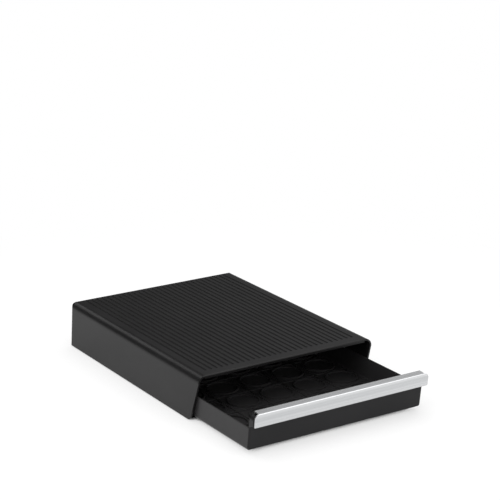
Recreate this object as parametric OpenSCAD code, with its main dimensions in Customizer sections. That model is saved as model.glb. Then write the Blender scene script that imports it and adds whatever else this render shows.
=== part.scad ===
// Drawer for coffee pods with a flat ribbed top that a coffee maker stands on.
//
// A moulded cover is open at the front and carries the drawer on two ledges along
// its lower edges. The drawer is a low tray with a seat for each pod, a front panel
// that leans forward, and a bright trim that forms the finger pull.
//
// Frame: X across the width, +Y to the rear, +Z up. The origin is on the table,
// under the middle of the whole object with its drawer partly open.

/* [Pods] */
// Spacing of the pods across and along the tray
pod_pitch = 51.3; // [47:0.1:60]
// Pods side by side
pod_columns = 5; // [3:1:7]
// Pods from front to back
pod_rows = 6; // [3:1:8]
// Diameter of a pod's foot
pod_foot_d = 37.5; // [30:0.5:42]

/* [Drawer] */
// How far the drawer stands open
drawer_open = 122; // [10:1:150]
// Free height between the cover's ledges and the tray
slide_gap = 0.3; // [0.2:0.1:1]
// Free space behind the closed drawer, to its bumpers
close_gap = 0.4; // [0.3:0.1:3]

/* [Tray] */
// Height of the tray's walls over its underside
tray_h = 30.7; // [24:0.1:33]
// Thickness of the tray's walls
tray_wall = 1.6; // [1.2:0.1:2.4]
// Thickness of the tray's floor
tray_floor = 2; // [1.5:0.1:3]
// Radius of the long lower edges
tray_edge_r = 4.5; // [2.5:0.5:6]
// Rounding of the walls' upper outer edges
rim_r = 0.7; // [0.3:0.1:1]
// From the front wall to the middle of the first row
first_row = 23.6; // [23:0.1:32]
// Spare length behind the last row
row_slack = 5; // [1:0.1:20]
// Height of the ring that holds a pod's foot
seat_h = 2.5; // [1:0.1:5]
// Wall of that ring
seat_wall = 1.6; // [1:0.1:2.5]
// Height of the ribs between the rings
floor_rib_h = 1.2; // [0.6:0.1:2]
// Free space round a pod's foot
seat_clear = 1.2; // [0.2:0.1:1.5]
// Width of the tabs that keep the drawer level and stop it
tab_w = 14; // [8:1:24]
// Depth of a tab's gusset at the wall's top edge
tab_gusset = 4.5; // [2:0.5:8]

/* [Front panel] */
// Lean of the drawer front, towards the user
front_lean = 6.6; // [1:0.1:12]
// Thickness of the panel
panel_t = 2; // [1.6:0.1:3]
// Radius of the curve that the panel's face and the tray share at the foot
panel_foot_r = 3.5; // [3.1:0.1:8]
// Rounding of the panel's side edges
panel_edge_r = 1.8; // [0.6:0.1:1.9]
// How far the panel's sides stand in from the tray's
panel_inset = 0.3; // [0:0.1:1]
// Width of a snap hook
hook_w = 8; // [5:0.5:14]
// Thickness of a snap hook
hook_t = 1.4; // [1:0.1:2]
// Height of a snap hook over the panel's foot
hook_z = 17; // [12:0.5:22]

/* [Handle] */
// From the panel's face to the trim's face
grip_depth = 9.1; // [8:0.1:20]
// Height of the trim's face
strip_h = 17.4; // [14:0.1:20]
// Thickness of the trim's face
strip_t = 1.4; // [1.4:0.1:3]
// Thickness of the trim's top
trim_top_t = 1.4; // [1.4:0.1:3]
// How far the handle's ends stand out past the panel's sides
handle_out = 0.25; // [0:0.05:1]
// Radius of the upper corners of the trim's face and of the cheeks
handle_r = 6; // [3:0.5:7]
// Radius of the face's lower corners
strip_r = 2.2; // [1:0.1:4]
// From the handle's ends to the ends of the trim's top
trim_top_in = 6; // [5:0.5:12]
// Rounding along the face's upper edge
strip_edge_r = 1.2; // [0.4:0.1:1.3]
// Free height between the handle and the cover
handle_gap = 4.9; // [3.5:0.1:12]
// Thickness of the cheeks at the handle's ends
cheek_t = 2.4; // [1.6:0.1:4]
// How far the cheeks reach below the trim's face
cheek_drop = 2.4; // [1:0.1:4]
// From the handle's top down to the cheeks
cheek_down = 3.9; // [2:0.1:5]
// Groove between the cheeks and the trim's face
cheek_gap = 1.5; // [0.3:0.1:2]
// Length of the block that holds each cheek
spigot_l = 7; // [6:0.5:14]

/* [Cover] */
// Height of the cover
cover_h = 62.2; // [60:0.1:90]
// Thickness of the sides
side_t = 2.2; // [1.6:0.1:3]
// Thickness of the top
top_t = 2.4; // [2:0.1:4]
// Thickness of the rear wall
rear_t = 2.5; // [1.6:0.1:3]
// Lean of the sides from upright
side_draft = 2.8; // [0.5:0.1:5]
// Free space between the handle and the sides, at the handle's top
side_gap = 0.6; // [0.4:0.1:3]
// Radius of the shoulders
shoulder_r = 10.2; // [8:0.1:10.4]
// Slant of the sides' front edges from upright
front_slant = 17.5; // [5:0.5:25]
// Radius of the sides' lower front corners
front_corner_r = 7; // [2:0.5:12]
// Rounding along the top's front edge
front_edge_r = 1.6; // [0.5:0.1:2]
// Rounding of the rear edges
rear_edge_r = 4; // [2:0.1:5]
// Width of the ledges that carry the drawer
ledge_w = 14; // [13:0.5:24]
// Thickness of those ledges
ledge_t = 2.4; // [2:0.1:4]

/* [Top] */
// Spacing of the flutes
flute_pitch = 8.04; // [6:0.01:16]
// Radius of a flute
flute_r = 2.2; // [1.5:0.1:3]
// Depth of a flute
flute_depth = 0.9; // [0.4:0.1:1.2]
// From the front edge to the flutes
flute_front = 14; // [5:0.5:40]
// From the rear edge to the flutes
flute_rear = 6; // [5:0.5:40]
// Plain strip between the shoulders and the flutes
flute_side = 6; // [2:0.5:20]

/* [Underside of the top] */
// Thickness of the ribs
rib_t = 1.8; // [1.2:0.1:3]
// Depth of the ribs
rib_d = 4; // [2:0.1:4.2]
// Spacing of the ribs
rib_pitch = 45; // [36:0.5:60]
// Depth of the lip behind the front edge
lip_d = 2.6; // [1:0.1:3]
// From the front edge to the rib that stops the drawer
stop_back = 30; // [15:0.5:60]
// Free height over the tabs
tab_gap = 0.8; // [0.5:0.1:2]

/* [Feet and bumpers] */
// How far the feet stand out
foot_h = 1.2; // [0.6:0.1:4]
// Depth of the recess that each foot is glued into
foot_recess = 0.5; // [0.2:0.1:1]
// Width of a foot
foot_w = 9; // [6:0.5:10]
// Length of a foot
foot_l = 28; // [12:1:60]
// From the ends of the ledges to the feet
foot_inset = 12; // [8:1:60]
// Diameter of a bumper
bumper_d = 9; // [5:0.5:14]
// Thickness of a bumper
bumper_t = 4.2; // [1.5:0.1:6]
// From the cover's sides to each bumper
bumper_in = 35; // [22:0.5:80]
// Height of the bumpers' middle over the ledges
bumper_z = 16; // [8:0.5:24]

/* [Screws] */
// Diameter of the screws
screw_d = 2.6; // [2:0.1:3]
// Length of the screws under the head
screw_l = 7.6; // [5:0.1:8]
// Diameter of the screw heads
screw_head_d = 5.2; // [4:0.1:6]
// Height of the screw heads
screw_head_h = 1.6; // [1:0.1:2]
// Diameter of the trim's screw bosses
boss_d = 6; // [5:0.1:8]
// Spacing of the trim's screws
boss_pitch = 52; // [30:1:54]
// Number of the trim's screws
boss_count = 5; // [3:2:5]
// From the handle's top to the middle of its screws
boss_down = 6.4; // [5.4:0.1:7]

/* [Hidden] */

$fn = 48;
past = 1;            // how far a cut runs past what it cuts
loose = 0.1;         // free space round a piece that is plugged in
thread_clear = 0.05; // free space round a screw in its pilot hole
hole_clear = 0.3;    // free space round a screw in the panel

black = [0.17, 0.17, 0.18];
rubber_black = [0.1, 0.1, 0.1];
silver = [0.78, 0.79, 0.8];
steel = [0.6, 0.6, 0.62];

// Heights
cover_z0 = foot_h;
cover_z1 = cover_z0 + cover_h;
ceiling_z = cover_z1 - top_t;
ledge_z = cover_z0 + ledge_t;
tray_z0 = ledge_z + slide_gap;
tray_z1 = tray_z0 + tray_h;
floor_z = tray_z0 + tray_floor;
shoulder_z = cover_z1 - shoulder_r;

// The handle, measured in the leaning frame of the front panel
handle_top = (ceiling_z - handle_gap - tray_z0 - panel_t * sin(front_lean)) / cos(front_lean);
strip_foot = handle_top - strip_h;
cheek_foot = strip_foot - cheek_drop;
cheek_top = handle_top - cheek_down;
trim_under = handle_top - trim_top_t;
boss_z = handle_top - boss_down;
gap_depth = grip_depth - strip_t;
front_reach = (handle_top - strip_edge_r) * sin(front_lean)
    + (grip_depth - strip_edge_r) * cos(front_lean) + strip_edge_r;

// Tray
tray_in_w = pod_columns * pod_pitch;
tray_w = tray_in_w + 2 * tray_wall;
tray_in_l = first_row + (pod_rows - 0.5) * pod_pitch + row_slack;
seat_in_r = pod_foot_d / 2 + seat_clear;
seat_out_r = seat_in_r + seat_wall;
panel_w = tray_w - 2 * panel_inset;
handle_w = panel_w + 2 * handle_out;
trim_top_half = handle_w / 2 - trim_top_in;

// Cover
handle_high_z = ceiling_z - handle_gap;
cover_w = handle_w + 2 * (side_gap + side_t / cos(side_draft)
    + (handle_high_z - cover_z0) * tan(side_draft));
cover_l = front_reach + panel_t / cos(front_lean) + 2 * tray_wall + tray_in_l
    + close_gap + bumper_t + rear_t;
total_l = cover_l + drawer_open;

// Places from front to rear
front_y = -total_l / 2;
panel_y = front_y + front_reach;
foot_y1 = panel_y + panel_foot_r;
tray_y0 = panel_y + panel_t / cos(front_lean);
tray_in_y0 = tray_y0 + tray_wall;
tray_in_y1 = tray_in_y0 + tray_in_l;
tray_y1 = tray_in_y1 + tray_wall;
row_y0 = tray_in_y0 + first_row;
column_x0 = -(pod_columns - 1) / 2 * pod_pitch;
cover_y0 = front_y + drawer_open;
cover_y1 = cover_y0 + cover_l;
rear_in_y = cover_y1 - rear_t;
ledge_x = cover_w / 2 - ledge_w;

// Line of a side's slanted front edge at a height, and its rounded lower corner
function slant_y(z) = cover_y0 + (shoulder_z - z) * tan(front_slant);
foot_corner_y = slant_y(cover_z0 + front_corner_r) + front_corner_r / cos(front_slant);

// Place behind the leaning front's face at a height, measured square to the face
function behind_face(z, back) = panel_y - (z - tray_z0) * tan(front_lean) + back / cos(front_lean);

// Half the cover's outer width at a height
function cover_half(z) = cover_w / 2 - (z - cover_z0) * tan(side_draft);
top_half = cover_half(shoulder_z) - shoulder_r / cos(side_draft);

// Flutes and ribs come in pairs to the left and right of the middle one
flute_pairs = floor((top_half - flute_side) / flute_pitch);
rib_pairs = floor((top_half - flute_side) / rib_pitch);
tab_x = 1.5 * rib_pitch;

// Feet
foot_front_y = foot_corner_y + foot_inset + foot_l / 2;
foot_rear_y = cover_y1 - foot_inset - foot_l / 2;
foot_x = cover_w / 2 - ledge_w / 2 - side_t / 4;

// Outline with rounded corners. Each point of the convex outline is [x, y, radius].
function unit(v) = v / norm(v);
function xy(p) = [p[0], p[1]];
function corner(points, i) = let(
        n = len(points),
        p = xy(points[i]),
        a = unit(xy(points[(i + n - 1) % n]) - p),
        b = unit(xy(points[(i + 1) % n]) - p),
        half = acos(a * b) / 2,
        r = points[i][2]
    ) [p + a * r / tan(half), p + b * r / tan(half), p + unit(a + b) * r / sin(half), r];
module rounded_outline(points) {
    corners = [for (i = [0:len(points) - 1]) corner(points, i)];
    polygon([for (c = corners) each (c[3] > 0 ? [c[0], c[1]] : [c[0]])]);
    for (c = corners) {
        if (c[3] > 0) {
            translate(c[2]) circle(r = c[3]);
        }
    }
}

// Extrusions of outlines drawn in the front view (x, z), the side view (y, z) and from above
module from_front(y0, y1) {
    translate([0, y1, 0]) rotate([90, 0, 0]) linear_extrude(y1 - y0) children();
}
module from_side(half_w) {
    translate([-half_w, 0, 0]) rotate([90, 0, 90]) linear_extrude(2 * half_w) children();
}

// ------------------------------------------------------------------ cover

// Section of the cover in the front view, set in from its outer face
module cover_section(inset, top_inset, bottom_z) {
    low = cover_half(bottom_z) - inset / cos(side_draft);
    high = cover_half(cover_z1) - inset / cos(side_draft);
    // the sides lean, so the outline is drawn up to where they would meet the top's plane
    z1 = cover_z1 - top_inset;
    at_top = high + top_inset * tan(side_draft);
    r = shoulder_r - inset;
    rounded_outline([[-low, bottom_z, 0], [low, bottom_z, 0], [at_top, z1, r], [-at_top, z1, r]]);
}

// Side view of the cover: slanted front edges with a rounded foot, rounded rear edge
module cover_side_view() {
    foot_y = slant_y(cover_z0);
    rounded_outline([
        [cover_y0, cover_z1, front_edge_r],
        [cover_y0, shoulder_z, 0],
        [foot_y, cover_z0, front_corner_r],
        [cover_y1, cover_z0, 0],
        [cover_y1, cover_z1, rear_edge_r]
    ]);
}

// Everything inside one leaning side, with that side's rounded rear edge
module inside_leaning_side(side) {
    mirror([side < 0 ? 1 : 0, 0, 0])
        translate([cover_w / 2, 0, cover_z0])
            rotate([0, -side_draft, 0])
                translate([0, 0, -cover_h / 2])
                    linear_extrude(2 * cover_h)
                        rounded_outline([
                            [-2 * cover_w, cover_y0 - past, 0],
                            [0, cover_y0 - past, 0],
                            [0, cover_y1, rear_edge_r],
                            [-2 * cover_w, cover_y1, 0]
                        ]);
}

// Round-bottomed flute with round ends
module flute(x) {
    length = cover_l - flute_front - flute_rear;
    translate([x, cover_y0 + flute_front, cover_z1 - flute_depth + flute_r])
        rotate([-90, 0, 0]) rotate_extrude() intersection() {
            union() {
                translate([0, flute_r]) circle(r = flute_r);
                translate([0, flute_r]) square([flute_r, length - 2 * flute_r]);
                translate([0, length - flute_r]) circle(r = flute_r);
            }
            square([flute_r, length]);
        }
}

// Lengthwise ribs, the lip and the stop, all hanging from the top
module top_ribs() {
    for (i = [-rib_pairs:rib_pairs]) {
        translate([i * rib_pitch - rib_t / 2, cover_y0 + front_edge_r, ceiling_z - rib_d])
            cube([rib_t, rear_in_y - cover_y0 - front_edge_r + past, rib_d + past]);
    }
    hanging_rib(cover_y0 + front_edge_r, lip_d);
    hanging_rib(cover_y0 + stop_back, rib_d);
}
module hanging_rib(y, depth) {
    half = top_half;
    translate([-half, y, ceiling_z - depth]) cube([2 * half, rib_t, depth + past]);
}

module foot_shape(h, grow) {
    r = foot_w / 2;
    reach = foot_l / 2 - r;
    translate([0, -reach, 0]) cylinder(r = r + grow, h = h);
    translate([0, reach, 0]) cylinder(r = r + grow, h = h);
    translate([-r - grow, -reach, 0]) cube([foot_w + 2 * grow, 2 * reach, h]);
}
module at_foot(side, y) {
    translate([side * foot_x, y, 0]) children();
}

module cover_shell() {
    color(black) difference() {
        intersection() {
            from_front(cover_y0 - past, cover_y1 + past) cover_section(0, 0, cover_z0);
            from_side(cover_w) cover_side_view();
            inside_leaning_side(-1);
            inside_leaning_side(1);
        }
        difference() {
            from_front(cover_y0 - past, rear_in_y) cover_section(side_t, top_t, ledge_z);
            top_ribs();
        }
        translate([-ledge_x, cover_y0 - past, cover_z0 - past])
            cube([2 * ledge_x, rear_in_y - cover_y0 + past, ledge_t + 2 * past]);
        for (i = [-flute_pairs:flute_pairs]) {
            flute(i * flute_pitch);
        }
        for (side = [-1, 1], y = [foot_front_y, foot_rear_y]) {
            at_foot(side, y) translate([0, 0, cover_z0 - past]) foot_shape(foot_recess + past, loose);
        }
    }
}

module foot(side, y) {
    color(rubber_black) at_foot(side, y) foot_shape(foot_h + foot_recess, 0);
}
module front_left_foot() { foot(-1, foot_front_y); }
module front_right_foot() { foot(1, foot_front_y); }
module rear_left_foot() { foot(-1, foot_rear_y); }
module rear_right_foot() { foot(1, foot_rear_y); }

// Rubber button, glued to the rear wall: a disc with a smaller, softer nose
module bumper(side) {
    disc_t = bumper_t * 0.5;
    color(rubber_black)
        translate([side * (cover_w / 2 - bumper_in), rear_in_y, ledge_z + bumper_z]) rotate([90, 0, 0]) {
            cylinder(d = bumper_d, h = disc_t);
            translate([0, 0, disc_t]) cylinder(d1 = bumper_d, d2 = bumper_d * 0.6, h = bumper_t - disc_t);
        }
}
module left_bumper() { bumper(-1); }
module right_bumper() { bumper(1); }

// ------------------------------------------------------------------ drawer

// The frame of the leaning front: x across, y from the panel's face to the rear, z up the panel
module in_front_frame() {
    translate([0, panel_y, tray_z0]) rotate([front_lean, 0, 0]) children();
}

// Section of the tray in the front view
module tray_section(inset, z0, z1, top_r) {
    half = tray_w / 2 - inset;
    r = tray_edge_r - inset;
    rounded_outline([[-half, z0, r], [half, z0, r], [half, z1, top_r], [-half, z1, top_r]]);
}

// Side view behind the leaning front, set back from its face by the same amount all round
module behind_front(back, low_r, y1, high_z) {
    low_z = tray_z0 + back;
    rounded_outline([
        [behind_face(low_z, back), low_z, low_r],
        [y1, low_z, 0],
        [y1, high_z, 0],
        [behind_face(high_z, back), high_z, 0]
    ]);
}

// Side view of the tray's block, with its front corner stepped up to the panel's lower edge
module tray_side_view() {
    intersection() {
        rounded_outline([
            [behind_face(tray_z0, panel_t), tray_z0, 0],
            [tray_y1, tray_z0, rim_r],
            [tray_y1, tray_z1, rim_r],
            [behind_face(tray_z1, panel_t), tray_z1, rim_r]
        ]);
        union() {
            behind_front(panel_t, panel_foot_r - panel_t, tray_y1 + past, tray_z1 + past);
            translate([foot_y1, tray_z0 - past])
                square([tray_y1 - foot_y1 + past, panel_t + 2 * past]);
        }
    }
}

// Hollow of the tray, with a curved front corner and a chamfer round the walls' tops
module tray_hollow() {
    back = panel_t + tray_wall;
    chamfer = tray_wall / 4;
    chamfer_z = tray_z1 - chamfer;
    half = tray_in_w / 2;
    high_z = tray_z1 + past;
    spread = chamfer + past;
    intersection() {
        from_front(front_y, tray_in_y1) tray_section(tray_wall, floor_z, high_z, 0);
        from_side(tray_w) rounded_outline([
            [behind_face(floor_z, back), floor_z, panel_foot_r],
            [tray_in_y1, floor_z, tray_wall],
            [tray_in_y1, high_z, 0],
            [behind_face(high_z, back), high_z, 0]
        ]);
    }
    intersection() {
        from_front(front_y, tray_y1) polygon([
            [-half, chamfer_z], [half, chamfer_z],
            [half + spread, high_z], [-half - spread, high_z]
        ]);
        from_side(tray_w) polygon([
            [behind_face(chamfer_z, back), chamfer_z], [tray_in_y1, chamfer_z],
            [tray_in_y1 + spread, high_z], [behind_face(high_z, back) - spread, high_z]
        ]);
    }
}

// What the hollow leaves standing on the floor: a ring for each pod's foot
module pod_seats() {
    for (row = [0:pod_rows - 1], column = [0:pod_columns - 1]) {
        translate([column_x0 + column * pod_pitch, row_y0 + row * pod_pitch, floor_z - past])
            difference() {
                cylinder(r = seat_out_r, h = seat_h + past);
                translate([0, 0, -past]) cylinder(r = seat_in_r, h = seat_h + 3 * past);
            }
    }
}

// and low ribs midway between the pods
module floor_ribs() {
    for (i = [1:pod_columns - 1]) {
        translate([column_x0 + (i - 0.5) * pod_pitch - rib_t / 2, row_y0, floor_z - past])
            cube([rib_t, tray_in_y1 - row_y0 + past, floor_rib_h + past]);
    }
    for (i = [1:pod_rows - 1]) {
        translate([-tray_in_w / 2 - past, row_y0 + (i - 0.5) * pod_pitch - rib_t / 2, floor_z - past])
            cube([tray_in_w + 2 * past, rib_t, floor_rib_h + past]);
    }
}

// Tab on the rear wall: runs close under the cover's top, so the open drawer can't tip,
// and meets the stop rib when the drawer is pulled right out
module keeper_tab(x) {
    top_z = ceiling_z - tab_gap;
    translate([x - tab_w / 2, 0, 0]) rotate([90, 0, 90]) linear_extrude(tab_w)
        polygon([
            [tray_y1, tray_z1 - tray_h / 2],
            [tray_y1, top_z],
            [tray_in_y1, top_z],
            [tray_in_y1, top_z - rib_d - tab_gap],
            [tray_in_y1 - tab_gusset, tray_z1],
            [tray_in_y1, tray_z1 - tray_h / 2]
        ]);
}

module drawer_tray() {
    color(black) difference() {
        union() {
            difference() {
                intersection() {
                    from_front(front_y, tray_y1 + past) tray_section(0, tray_z0, tray_z1, rim_r);
                    from_side(tray_w) tray_side_view();
                }
                difference() {
                    tray_hollow();
                    pod_seats();
                    floor_ribs();
                }
            }
            keeper_tab(-tab_x);
            keeper_tab(tab_x);
        }
        in_front_frame() hook_slots();
    }
}

// Front panel: one leaning plate with rounded lower corners, as low as the step in the
// tray's underside. Its upper part backs the handle and is narrower, to leave room for
// the cheeks and then to end under the trim's top.
module panel_outline() {
    neck = handle_w / 2 - cheek_t - loose;
    head = trim_top_half - loose;
    translate([-panel_w / 2, -panel_foot_r]) square([panel_w, panel_foot_r + cheek_foot]);
    intersection() {
        cheek_outline();
        translate([-neck, 0]) square([2 * neck, cheek_top]);
    }
    translate([-head, 0]) square([2 * head, trim_under - loose]);
}
module panel_plate() {
    half = panel_w / 2;
    inner_r = panel_foot_r - panel_t;
    intersection() {
        from_side(panel_w) difference() {
            behind_front(0, panel_foot_r, tray_y1, cover_z1);
            behind_front(panel_t, inner_r, tray_y1 + past, cover_z1 + past);
        }
        from_front(front_y, foot_y1) tray_section(panel_inset, tray_z0 + panel_t, cover_z1, 0);
        in_front_frame() from_front(-past, 2 * panel_foot_r) panel_outline();
        in_front_frame() translate([0, 0, -panel_foot_r]) linear_extrude(2 * cover_h)
            rounded_outline([
                [-half, 0, panel_edge_r], [half, 0, panel_edge_r],
                [half, 2 * panel_foot_r, 0], [-half, 2 * panel_foot_r, 0]
            ]);
    }
}

hook_xs = [-panel_w / 2 + 30, -panel_w / 6, panel_w / 6, panel_w / 2 - 30];
hook_reach = panel_t + tray_wall / cos(front_lean);
module hook(x) {
    translate([x - hook_w / 2, 0, hook_z]) rotate([90, 0, 90]) linear_extrude(hook_w)
        polygon([
            [panel_t - past, 0],
            [hook_reach + 2.6, 0],
            [hook_reach + 2.6, hook_t],
            [hook_reach + 0.6, hook_t + 0.9],
            [hook_reach + 0.15, hook_t + 0.9],
            [hook_reach + 0.15, hook_t],
            [panel_t - past, hook_t]
        ]);
}
module hook_slots() {
    for (x = hook_xs) {
        translate([x - hook_w / 2 - loose, panel_t - past, hook_z - loose])
            cube([hook_w + 2 * loose, tray_wall + 2 * past, hook_t + 0.9 + 2 * loose]);
    }
}

// Places of the screws: the trim's in a row along its bosses, the cheeks' at the ends
boss_xs = [for (i = [0:boss_count - 1]) (i - (boss_count - 1) / 2) * boss_pitch];
cap_screw_x = handle_w / 2 - cheek_t - spigot_l / 2;
cap_screw_z = strip_foot + strip_h * 0.42;

module screw_hole(x, z, d, y0, y1) {
    translate([x, y0, z]) rotate([-90, 0, 0]) cylinder(d = d, h = y1 - y0);
}

module front_panel() {
    hole_d = screw_d + 2 * hole_clear;
    color(black) difference() {
        union() {
            panel_plate();
            in_front_frame() for (x = hook_xs) {
                hook(x);
            }
        }
        in_front_frame() {
            for (x = boss_xs) {
                screw_hole(x, boss_z, hole_d, -past, panel_t + past);
            }
            for (side = [-1, 1]) {
                screw_hole(side * cap_screw_x, cap_screw_z, hole_d, -past, panel_t + past);
            }
        }
    }
}

// Front view of the handle's ends, as seen square to the trim's face
module cheek_outline() {
    half = handle_w / 2;
    rounded_outline([
        [-half, 0, 0], [half, 0, 0],
        [half, cheek_top, handle_r], [-half, cheek_top, handle_r]
    ]);
}

// Trim: a face with rounded corners and a narrower top that reaches back over the panel
module trim_face() {
    half = handle_w / 2;
    from_front(-grip_depth, -gap_depth) rounded_outline([
        [-half, strip_foot, strip_r], [half, strip_foot, strip_r],
        [half, handle_top, handle_r], [-half, handle_top, handle_r]
    ]);
}
module trim_top() {
    translate([-trim_top_half, -gap_depth - strip_t / 2, trim_under])
        cube([2 * trim_top_half, gap_depth + strip_t / 2 + panel_t, trim_top_t]);
}
module handle_trim() {
    color(silver) in_front_frame() difference() {
        union() {
            intersection() {
                union() {
                    trim_face();
                    trim_top();
                }
                from_side(handle_w) rounded_outline([
                    [-grip_depth, strip_foot, strip_edge_r / 2], [panel_t, strip_foot, 0],
                    [panel_t, handle_top, strip_edge_r / 2], [-grip_depth, handle_top, strip_edge_r]
                ]);
            }
            for (x = boss_xs) {
                screw_hole(x, boss_z, boss_d, -gap_depth - strip_t / 2, 0);
            }
        }
        for (x = boss_xs) {
            screw_hole(x, boss_z, screw_d + 2 * thread_clear, panel_t - screw_l - loose, past);
        }
    }
}

// Cheek at one end of the handle: a plate on the panel's side that stops just short of the
// trim, with a block inside that takes a screw from behind
module end_cap(side) {
    inner = handle_w / 2 - cheek_t;
    front = -gap_depth + cheek_gap;
    pilot_d = screw_d + 2 * thread_clear;
    color(black) in_front_frame() mirror([side < 0 ? 1 : 0, 0, 0]) difference() {
        intersection() {
            union() {
                translate([inner, 0, 0]) rotate([90, 0, 90]) linear_extrude(cheek_t)
                    polygon([
                        [front, strip_foot + strip_edge_r],
                        [-loose, cheek_foot + loose],
                        [panel_t, cheek_foot + loose],
                        [panel_t, handle_top],
                        [front, handle_top]
                    ]);
                translate([inner - spigot_l, front, strip_foot + strip_edge_r])
                    cube([spigot_l + cheek_t / 2, -front - loose, handle_top]);
            }
            from_front(-grip_depth, panel_t + past) cheek_outline();
        }
        screw_hole(cap_screw_x, cap_screw_z, pilot_d, panel_t - screw_l - loose, past);
    }
}
module left_end_cap() { end_cap(-1); }
module right_end_cap() { end_cap(1); }

// Pan-head screw with a cross recess, driven from inside the drawer
module pan_screw(x, z) {
    slot_w = 0.7;
    slot_l = screw_head_d * 0.55;
    slot_d = screw_head_h * 0.6;
    translate([x, panel_t, z]) rotate([90, 0, 0]) difference() {
        union() {
            cylinder(d = screw_d, h = screw_l);
            translate([0, 0, -screw_head_h]) cylinder(d = screw_head_d, h = screw_head_h);
        }
        for (turn = [0, 90]) {
            rotate([0, 0, turn]) translate([-slot_l / 2, -slot_w / 2, -screw_head_h - past])
                cube([slot_l, slot_w, slot_d + past]);
        }
    }
}
module trim_screws() {
    color(steel) in_front_frame() {
        for (x = boss_xs) {
            pan_screw(x, boss_z);
        }
    }
}
module cap_screws() {
    color(steel) in_front_frame() {
        for (side = [-1, 1]) {
            pan_screw(side * cap_screw_x, cap_screw_z);
        }
    }
}

cover_shell();
front_left_foot();
front_right_foot();
rear_left_foot();
rear_right_foot();
left_bumper();
right_bumper();
drawer_tray();
front_panel();
handle_trim();
left_end_cap();
right_end_cap();
trim_screws();
cap_screws();
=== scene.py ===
import math

import bpy
from mathutils import Matrix, Vector

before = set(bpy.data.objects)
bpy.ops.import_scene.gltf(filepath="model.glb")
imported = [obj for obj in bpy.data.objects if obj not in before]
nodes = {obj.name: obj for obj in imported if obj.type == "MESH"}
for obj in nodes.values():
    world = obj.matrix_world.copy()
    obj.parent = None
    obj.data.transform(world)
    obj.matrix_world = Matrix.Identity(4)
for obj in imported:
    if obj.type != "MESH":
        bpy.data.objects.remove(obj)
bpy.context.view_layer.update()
scene = bpy.context.scene
scene.view_settings.view_transform = "Standard"

# ------------------------------------------------------------------ camera
# The photo's camera, solved from the cover's edges: a long lens at the front left, a little
# above the object, 1643 pixels long for a frame of 500.
YAW, PITCH, ROLL = math.radians(-33.34), math.radians(-16.9), math.radians(0.41)
CAMERA_PLACE = (-1.11231, -1.709845, 0.79646)
SENSOR_MM, LENS_MM = 36.0, 118.32
CLIP_NEAR, CLIP_FAR = 0.05, 50.0

forward = Vector((
    -math.sin(YAW) * math.cos(PITCH),
    math.cos(YAW) * math.cos(PITCH),
    math.sin(PITCH),
))
level = Vector((math.cos(YAW), math.sin(YAW), 0.0))
upright = level.cross(forward)
right = math.cos(ROLL) * level + math.sin(ROLL) * upright
up = -math.sin(ROLL) * level + math.cos(ROLL) * upright

cam_data = bpy.data.cameras.new("view_camera")
cam_data.sensor_fit = "HORIZONTAL"
cam_data.sensor_width = SENSOR_MM
cam_data.lens = LENS_MM
cam_data.clip_start, cam_data.clip_end = CLIP_NEAR, CLIP_FAR
cam = bpy.data.objects.new("view_camera", cam_data)
scene.collection.objects.link(cam)
turn = Matrix((right, up, -forward)).transposed().to_4x4()
cam.matrix_world = Matrix.Translation(CAMERA_PLACE) @ turn
scene.camera = cam


# ------------------------------------------------------------------- nodes
def rgba(colour):
    """A grey level, or red, green and blue, as a colour with alpha."""
    if isinstance(colour, float):
        colour = (colour, colour, colour)
    return (*colour, 1.0)


class Tree:
    """Short hand for building a node tree. An input takes an output socket or a plain value."""

    def __init__(self, tree):
        self.tree = tree
        tree.nodes.clear()

    def feed(self, node, inputs):
        for key, value in inputs.items():
            if isinstance(value, bpy.types.NodeSocket):
                self.tree.links.new(value, node.inputs[key])
            else:
                node.inputs[key].default_value = value

    def add(self, kind, inputs=None, **settings):
        node = self.tree.nodes.new("ShaderNode" + kind)
        for key, value in settings.items():
            setattr(node, key, value)
        self.feed(node, inputs or {})
        return node

    def math(self, operation, *terms):
        return self.add("Math", dict(enumerate(terms)), operation=operation).outputs["Value"]

    def mix(self, share, first, second):
        """Colour: first where share is 0, second where it is 1."""
        node = self.add("MixRGB", {"Fac": share, "Color1": first, "Color2": second})
        return node.outputs["Color"]

    def ramp(self, source, stops):
        """Colour ramp; stops are (place, colour or grey level), the first and last included."""
        node = self.add("ValToRGB", {"Fac": source})
        elements = node.color_ramp.elements
        for place, colour in stops[1:-1]:
            elements.new(place).color = rgba(colour)
        for element, stop in ((elements[0], stops[0]), (elements[len(elements) - 1], stops[-1])):
            element.position = stop[0]
            element.color = rgba(stop[1])
        return node.outputs["Color"]

    def smooth_step(self, source, low, high):
        node = self.add(
            "MapRange",
            {"Value": source, "From Min": low, "From Max": high},
            interpolation_type="SMOOTHSTEP",
        )
        return node.outputs["Result"]

    def diffuse(self, grey):
        return self.add("BsdfDiffuse", {"Color": rgba(grey)}).outputs["BSDF"]

    def glow(self, strength):
        return self.add("Emission", {"Strength": strength}).outputs["Emission"]

    def mix_shaders(self, share, first, second):
        return self.add("MixShader", {0: share, 1: first, 2: second}).outputs["Shader"]

    def by_ray(self, plain, seen):
        """Shader: seen for the camera and for mirror-like and see-through rays, else plain."""
        path = self.add("LightPath").outputs
        direct = self.math("MAXIMUM", path["Is Camera Ray"], path["Is Glossy Ray"])
        share = self.math("MAXIMUM", direct, path["Is Transmission Ray"])
        return self.mix_shaders(share, plain, seen)


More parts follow.
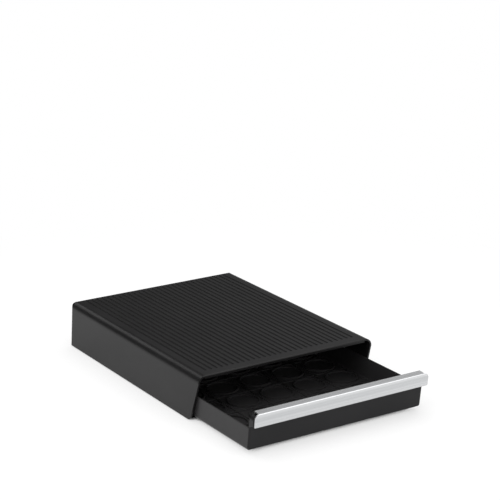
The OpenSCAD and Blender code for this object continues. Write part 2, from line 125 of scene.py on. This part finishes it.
class Finish(Tree):
    """A material with one Principled shader. Its textures lie in the object's own metres."""

    def __init__(self, name, **values):
        self.material = bpy.data.materials.new(name)
        self.material.use_nodes = True
        super().__init__(self.material.node_tree)
        named = {key.replace("_", " "): value for key, value in values.items()}
        self.shader = self.add("BsdfPrincipled", named)
        self.add("OutputMaterial", {"Surface": self.shader.outputs["BSDF"]})

    def place(self, scale=(1.0, 1.0, 1.0), offset=(0.0, 0.0, 0.0)):
        here = self.add("TexCoord").outputs["Object"]
        mapping = self.add("Mapping", {"Vector": here, "Scale": scale, "Location": offset})
        return mapping.outputs["Vector"]

    def noise(self, scale, detail, stretch=(1.0, 1.0, 1.0), rough=0.5):
        inputs = {
            "Vector": self.place(stretch), "Scale": scale, "Detail": detail, "Roughness": rough}
        return self.add("TexNoise", inputs).outputs["Fac"]

    def cells(self, scale):
        inputs = {"Vector": self.place(), "Scale": scale}
        return self.add("TexVoronoi", inputs).outputs["Distance"]

    def split(self, vector):
        return self.add("SeparateXYZ", {0: vector}).outputs

    def bump(self, layers):
        """Bumps the surface by (height map, height in metres) layers, the finest first."""
        inputs = {"Strength": 1.0}
        for source, height in layers:
            inputs.update({"Height": source, "Distance": height})
            inputs["Normal"] = self.add("Bump", inputs).outputs["Normal"]
        self.feed(self.shader, {"Normal": inputs["Normal"]})

    def surface(self, colour, rough):
        self.feed(self.shader, {"Base Color": colour, "Roughness": rough})


# --------------------------------------------------------------- materials
# The flutes' box in the cover's top, in metres: its middle and half its size. Heights in it run
# from -1 to 1; the lands lie at 0.83.
FLUTES_MIDDLE = (0.0, 0.065, 0.0629)
FLUTES_HALF = (0.121, 0.16, 0.0006)
# Painted shade: from the first of these heights down to the second, the flutes go over to a dark
# painted colour and a rougher finish.
LAND_HEIGHT, FULL_SHADE_HEIGHT = 0.82, 0.2
FLUTE_SHADE_COLOUR, DULL_ROUGHNESS = 0.003, 0.58

# Sizes of the textures, in features per metre, but the grain's in metres.
FLOW_MARKS, SPECKS, RUB_MARKS = 16.0, 900.0, 7.0
FINE_STREAKS, BROAD_STREAKS = (1.5, 700.0, 700.0), (0.6, 260.0, 260.0)
RUBBER_SPECKS, RUBBER_CLOUDS = 1200.0, 60.0
ZINC_BLOTCHES, ZINC_SPECKS = 500.0, 900.0
GRAIN_SIZE = 0.0005

# Painted shade: the near-black colour painted on the trim's ends, back and underside.
PAINTED_SHADE_PLASTIC = 0.02
FILM_METAL = 0.88


def flute_shade_mask(m):
    """Painted shade mask: 1 in the depth of the flutes in the cover's top, 0 on the lands and
    everywhere else.
    """
    scale = [1.0 / half for half in FLUTES_HALF]
    offset = [-middle / half for middle, half in zip(FLUTES_MIDDLE, FLUTES_HALF)]
    field = m.place(scale, offset)
    size = m.split(m.add("VectorMath", {0: field}, operation="ABSOLUTE").outputs["Vector"])
    outermost = m.math("MAXIMUM", m.math("MAXIMUM", size["X"], size["Y"]), size["Z"])
    inside = m.math("LESS_THAN", outermost, 1.0)
    depth = m.add("MapRange", {
        "Value": m.split(field)["Z"], "From Min": LAND_HEIGHT, "From Max": FULL_SHADE_HEIGHT})
    return m.math("MULTIPLY", depth.outputs["Result"], inside)


def moulded(name, colours, roughness, specular, grain_height, fluted=False):
    """Satin moulded plastic: fine spark-eroded grain, faint flow marks and handling marks; where
    fluted, painted shade in the flutes.
    """
    m = Finish(name, Specular_IOR_Level=specular)
    flow = m.noise(FLOW_MARKS, 4.0)
    tone = m.math("MULTIPLY_ADD", m.noise(SPECKS, 2.0), 0.35, flow)
    colour = m.ramp(tone, [(0.45, colours[0]), (0.9, colours[1])])
    rubbed = m.noise(RUB_MARKS, 5.0, stretch=(1.0, 0.5, 1.0))
    rough = m.ramp(rubbed, [(0.3, roughness[0]), (0.7, roughness[1])])
    if fluted:
        # Painted shade: the flutes are painted darker the deeper they go. They are also rougher
        # than the lands, which are polished by what stands on them.
        mask = flute_shade_mask(m)
        colour = m.mix(mask, colour, rgba(FLUTE_SHADE_COLOUR))
        rough = m.mix(mask, rough, rgba(DULL_ROUGHNESS))
    m.surface(colour, rough)
    grain = m.cells(1.0 / GRAIN_SIZE)
    soft_grain = m.noise(1.0 / (2.2 * GRAIN_SIZE), 2.0)
    m.bump([(grain, grain_height), (soft_grain, grain_height)])
    return m.material


def brushed(name):
    """Silver film brushed along the trim's length, on the face and top of a black moulding; the
    ends, back and underside are painted dark, a painted shade.
    """
    m = Finish(name, IOR=1.5)
    # Film where the surface looks forward or up; the ends, back and underside are painted near
    # black instead, a painted shade.
    way = m.split(m.add("TexCoord").outputs["Normal"])
    ahead = m.math("SUBTRACT", way["Z"], way["Y"])
    unshaded_film = m.ramp(ahead, [(0.3, 0.0), (0.5, 1.0)])
    # Streaks run along X.
    fine = m.noise(1.0, 2.0, stretch=FINE_STREAKS)
    broad = m.noise(1.0, 3.0, stretch=BROAD_STREAKS, rough=0.6)
    streaks = m.math("MULTIPLY_ADD", fine, 0.45, broad)
    silver_tone = m.ramp(streaks, [(0.5, (0.51, 0.52, 0.53)), (0.95, (0.69, 0.695, 0.705))])
    # All of this roughness lies under 0.27 and all of the plastics' over it, because the
    # denoiser treats the two kinds differently and leaves specks where one surface has both.
    rough = m.ramp(streaks, [(0.43, 0.26), (1.0, 0.18)])
    m.surface(m.mix(unshaded_film, rgba(PAINTED_SHADE_PLASTIC), silver_tone), rough)
    m.feed(m.shader, {"Metallic": m.math("MULTIPLY", unshaded_film, FILM_METAL)})
    m.bump([(fine, 0.000005), (broad, 0.00002)])
    return m.material


def rubber(name):
    """Matt rubber with fine specks."""
    m = Finish(name)
    speck = m.noise(RUBBER_SPECKS, 2.0)
    colour = m.ramp(speck, [(0.35, 0.012), (0.7, 0.022)])
    rough = m.ramp(m.noise(RUBBER_CLOUDS, 3.0), [(0.3, 0.75), (0.7, 0.9)])
    m.surface(colour, rough)
    m.bump([(speck, 0.00003)])
    return m.material


def zinc(name):
    """Blotchy zinc plate."""
    m = Finish(name, Metallic=1.0)
    blotch = m.noise(ZINC_BLOTCHES, 4.0)
    colour = m.ramp(blotch, [(0.3, (0.42, 0.42, 0.43)), (0.7, (0.60, 0.60, 0.61))])
    rough = m.ramp(m.noise(ZINC_SPECKS, 3.0), [(0.3, 0.28), (0.7, 0.45)])
    m.surface(colour, rough)
    m.bump([(blotch, 0.00001)])
    return m.material


cover_black = moulded(
    "cover_plastic",
    colours=((0.0100, 0.0097, 0.0100), (0.0145, 0.0141, 0.0145)),
    roughness=(0.30, 0.39), specular=0.19, grain_height=0.000014, fluted=True)
tray_black = moulded(
    "tray_plastic",
    colours=((0.0245, 0.0238, 0.0245), (0.0320, 0.0312, 0.0320)),
    roughness=(0.32, 0.42), specular=0.17, grain_height=0.000014)
panel_black = moulded(
    "panel_plastic",
    colours=((0.0105, 0.0102, 0.0110), (0.0145, 0.0141, 0.0151)),
    roughness=(0.29, 0.36), specular=0.18, grain_height=0.000008)
silver = brushed("brushed_silver")
foot_rubber = rubber("soft_rubber")
screw_zinc = zinc("zinc_plate")

FINISH = {
    "cover_shell": cover_black,
    "front_left_foot": foot_rubber,
    "front_right_foot": foot_rubber,
    "rear_left_foot": foot_rubber,
    "rear_right_foot": foot_rubber,
    "left_bumper": foot_rubber,
    "right_bumper": foot_rubber,
    "drawer_tray": tray_black,
    "front_panel": panel_black,
    "left_end_cap": panel_black,
    "right_end_cap": panel_black,
    "handle_trim": silver,
    "trim_screws": screw_zinc,
    "cap_screws": screw_zinc,
}
for name, material in FINISH.items():
    node = nodes[name]
    if not node.material_slots:
        node.data.materials.append(material)
    for slot in node.material_slots:
        slot.material = material

# ------------------------------------------------------------------- world
# The camera sees white all round. Reflections see a room that is bright overhead, in front and
# on the right, and dim behind and on the left; other rays see an even soft light.
SOFT_LIGHT = 0.55
# A reflection's direction along BRIGHT_SIDE, plus BRIGHT_SHIFT, is its place in the ramp ROOM.
BRIGHT_SIDE = (0.804, -0.595, 0.25)
BRIGHT_SHIFT = 0.3
ROOM = [
    (0.0, 0.05), (0.22, 0.05), (0.33, 0.25), (0.41, 0.27), (0.5, 0.5), (0.9, 0.9), (1.0, 1.0)]

world = bpy.data.worlds.new("studio")
world.use_nodes = True
scene.world = world
air = Tree(world.node_tree)
ray_way = air.add("TexCoord").outputs["Generated"]
bright_way = air.add("VectorMath", {0: ray_way, 1: BRIGHT_SIDE}, operation="DOT_PRODUCT")
room = air.ramp(air.math("ADD", bright_way.outputs["Value"], BRIGHT_SHIFT), ROOM)
backdrop = air.mix(air.add("LightPath").outputs["Is Camera Ray"], room, rgba(1.0))
even = air.add("Background", {"Color": rgba(1.0), "Strength": SOFT_LIGHT}).outputs["Background"]
shown = air.add("Background", {"Color": backdrop}).outputs["Background"]
air.add("OutputWorld", {"Surface": air.by_ray(even, shown)})

# ------------------------------------------------------------------- floor
FLOOR_HALF = 6.0
FLOOR_DROP = 0.0004  # the feet stand this far above it
FLOOR_GREY = 0.86  # to light that bounces
SEEN_GREY, SEEN_GLOW = 0.42, 0.6  # near white to the camera, and still takes the shadow
CONTACT_GREY = 0.02
CONTACT_REACH, CONTACT_LOW, CONTACT_HIGH = 0.4, 0.03, 0.14
WHITE_FROM, WHITE_TO = 0.3, 0.75  # metres from the object's middle

floor_mesh = bpy.data.meshes.new("floor")
corners = [(FLOOR_HALF * x, FLOOR_HALF * y, 0) for x, y in ((-1, -1), (1, -1), (1, 1), (-1, 1))]
floor_mesh.from_pydata(corners, [], [(0, 1, 2, 3)])
floor = bpy.data.objects.new("floor", floor_mesh)
scene.collection.objects.link(floor)
floor.location.z = -FLOOR_DROP
pale_floor = bpy.data.materials.new("pale_floor")
pale_floor.use_nodes = True
ground = Tree(pale_floor.node_tree)
grey, glow = ground.diffuse(SEEN_GREY), ground.glow(SEEN_GLOW)
near = ground.add("AddShader", {0: grey, 1: glow}).outputs["Shader"]
# Under the object and inside the cover, where hardly any light gets in, it is nearly black.
openness = ground.add("AmbientOcclusion", {"Distance": CONTACT_REACH}, samples=16).outputs["AO"]
lit = ground.smooth_step(openness, CONTACT_LOW, CONTACT_HIGH)
near = ground.mix_shaders(lit, ground.diffuse(CONTACT_GREY), near)
# Away from the object it goes over into plain white.
spot = ground.add("TexCoord").outputs["Object"]
distance = ground.add("VectorMath", {0: spot}, operation="LENGTH").outputs["Value"]
away = ground.smooth_step(distance, WHITE_FROM, WHITE_TO)
seen = ground.mix_shaders(away, near, ground.glow(1.0))
ground.add("OutputMaterial", {"Surface": ground.by_ray(ground.diffuse(FLOOR_GREY), seen)})
floor_mesh.materials.append(pale_floor)

# ------------------------------------------------------------------- lamps
# name, place, target, side in metres, watts
LAMPS = [
    ("overhead", (0.3, 0.2, 2.2), (0.3, 0.2, 0.0), 3.0, 24.0),
    ("left_key", (-2.0, -0.6, 1.5), (0.0, 0.0, 0.0), 1.6, 18.0),
    ("front_fill", (1.2, -2.2, 1.3), (0.0, 0.0, 0.0), 1.8, 9.0),
    ("front_low", (-0.5, -2.4, 0.75), (0.0, 0.0, 0.0), 1.2, 8.0),
    ("rear_rim", (-0.39, 2.03, 1.4), (-0.13, 0.06, 0.06), 0.9, 3.8),
]
for name, place, target, side, watts in LAMPS:
    data = bpy.data.lights.new(name, "AREA")
    data.shape, data.size, data.energy = "SQUARE", side, watts
    lamp = bpy.data.objects.new(name, data)
    scene.collection.objects.link(lamp)
    lamp.location = place
    aim = Vector(target) - Vector(place)
    lamp.rotation_euler = aim.to_track_quat("-Z", "Y").to_euler()
